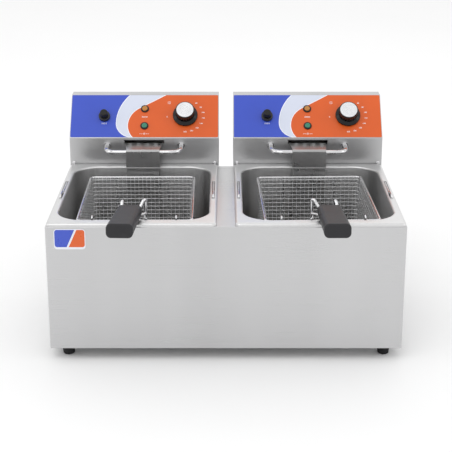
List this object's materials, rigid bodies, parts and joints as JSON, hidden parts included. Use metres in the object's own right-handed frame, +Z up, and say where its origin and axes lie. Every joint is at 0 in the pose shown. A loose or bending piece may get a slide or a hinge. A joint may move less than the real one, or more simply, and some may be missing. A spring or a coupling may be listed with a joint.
{
  "type": "deep fryer",
  "caption": "Electric counter-top deep fryer with two lift-out oil tanks, wire baskets with grips, and rear control heads carrying knob, lamps, reset button and immersed element.",
  "frame": {"origin": "middle of the bounding box, on the worktop under the feet", "axes": "+Z up, -Y towards the user at the front with the basket grips, +X to the right as seen from the front"},
  "size_m": [0.56, 0.5486, 0.341],
  "materials": {
    "cabinet_steel": "satin",
    "tank_steel": "bright",
    "head_steel": "satin",
    "wire_steel": "bright",
    "screw_steel": "bright",
    "element_steel": "satin",
    "bulb_copper": "satin",
    "foot_rubber": "matte",
    "grip_plastic": "matte",
    "knob_plastic": "gloss",
    "knob_aluminium": "spun",
    "control_plastic": "matte",
    "terminal_plastic": "matte",
    "overlay_print": "satin print in blue, white and orange",
    "badge_print": "two-tone print",
    "amber_lens": "gloss",
    "green_lens": "gloss"
  },
  "bodies": {
    "cabinet": {"casing_wrap": "cabinet_steel", "deck": "cabinet_steel", "rear_panel": "cabinet_steel", "base_plate": "cabinet_steel", "feet": "foot_rubber", "cabinet_screws": "screw_steel", "head_brackets": "cabinet_steel", "badge": "badge_print"},
    "tank_left": {"tank_left": "tank_steel"},
    "bail_outer_left": {"bail_outer_left": "wire_steel"},
    "bail_inner_left": {"bail_inner_left": "wire_steel"},
    "head_left": {"head_shell_left": "head_steel", "head_rear_cover_left": "head_steel", "panel_overlay_left": "overlay_print", "lamp_bezels_left": "control_plastic", "heat_lens_left": "amber_lens", "power_lens_left": "green_lens", "hanger_bar_left": "wire_steel", "element_guard_left": "tank_steel", "element_shroud_left": "tank_steel", "heating_element_left": "element_steel", "thermostat_left": "bulb_copper", "thermal_cutout_left": "bulb_copper", "terminal_block_left": "terminal_plastic", "safety_switch_left": "control_plastic", "cable_gland_left": "control_plastic", "cover_screws_left": "screw_steel"},
    "knob_left": {"knob_left": "knob_plastic", "knob_cap_left": "knob_aluminium", "knob_shaft_left": "screw_steel"},
    "reset_left": {"reset_button_left": "control_plastic"},
    "basket_left": {"basket_frame_left": "wire_steel", "basket_mesh_left": "wire_steel", "basket_grip_left": "grip_plastic"},
    "tank_right": {"tank_right": "tank_steel"},
    "bail_outer_right": {"bail_outer_right": "wire_steel"},
    "bail_inner_right": {"bail_inner_right": "wire_steel"},
    "head_right": {"head_shell_right": "head_steel", "head_rear_cover_right": "head_steel", "panel_overlay_right": "overlay_print", "lamp_bezels_right": "control_plastic", "heat_lens_right": "amber_lens", "power_lens_right": "green_lens", "hanger_bar_right": "wire_steel", "element_guard_right": "tank_steel", "element_shroud_right": "tank_steel", "heating_element_right": "element_steel", "thermostat_right": "bulb_copper", "thermal_cutout_right": "bulb_copper", "terminal_block_right": "terminal_plastic", "safety_switch_right": "control_plastic", "cable_gland_right": "control_plastic", "cover_screws_right": "screw_steel"},
    "knob_right": {"knob_right": "knob_plastic", "knob_cap_right": "knob_aluminium", "knob_shaft_right": "screw_steel"},
    "reset_right": {"reset_button_right": "control_plastic"},
    "basket_right": {"basket_frame_right": "wire_steel", "basket_mesh_right": "wire_steel", "basket_grip_right": "grip_plastic"}
  },
  "joints": [
    {"name": "tank_lift_left", "type": "slide", "parent": "cabinet", "child": "tank_left", "axis": [0, 0, 1], "range_m": [0, 0.17]},
    {"name": "bail_pull_outer_left", "type": "slide", "parent": "tank_left", "child": "bail_outer_left", "axis": [0, 0, 1], "range_m": [0, 0.026]},
    {"name": "bail_pull_inner_left", "type": "slide", "parent": "tank_left", "child": "bail_inner_left", "axis": [0, 0, 1], "range_m": [0, 0.026]},
    {"name": "head_lift_left", "type": "slide", "parent": "tank_left", "child": "head_left", "axis": [0, 0, 1], "range_m": [0, 0.17]},
    {"name": "basket_lift_left", "type": "slide", "parent": "head_left", "child": "basket_left", "axis": [0, 0, 1], "range_m": [0, 0.15]},
    {"name": "knob_turn_left", "type": "hinge", "parent": "head_left", "child": "knob_left", "pos_m": [-0.0735, 0.20731, 0.30881], "axis": [0, 0.7292, -0.6843], "range_deg": [0, 276]},
    {"name": "reset_press_left", "type": "slide", "parent": "head_left", "child": "reset_left", "axis": [0, 0.7292, -0.6843], "range_m": [0, 0.003], "stiffness_N_per_m": 600, "springref_m": -0.0005},
    {"name": "tank_lift_right", "type": "slide", "parent": "cabinet", "child": "tank_right", "axis": [0, 0, 1], "range_m": [0, 0.17]},
    {"name": "bail_pull_outer_right", "type": "slide", "parent": "tank_right", "child": "bail_outer_right", "axis": [0, 0, 1], "range_m": [0, 0.026]},
    {"name": "bail_pull_inner_right", "type": "slide", "parent": "tank_right", "child": "bail_inner_right", "axis": [0, 0, 1], "range_m": [0, 0.026]},
    {"name": "head_lift_right", "type": "slide", "parent": "tank_right", "child": "head_right", "axis": [0, 0, 1], "range_m": [0, 0.17]},
    {"name": "basket_lift_right", "type": "slide", "parent": "head_right", "child": "basket_right", "axis": [0, 0, 1], "range_m": [0, 0.15]},
    {"name": "knob_turn_right", "type": "hinge", "parent": "head_right", "child": "knob_right", "pos_m": [0.2195, 0.20731, 0.30881], "axis": [0, 0.7292, -0.6843], "range_deg": [0, 276]},
    {"name": "reset_press_right", "type": "slide", "parent": "head_right", "child": "reset_right", "axis": [0, 0.7292, -0.6843], "range_m": [0, 0.003], "stiffness_N_per_m": 600, "springref_m": -0.0005}
  ]
}
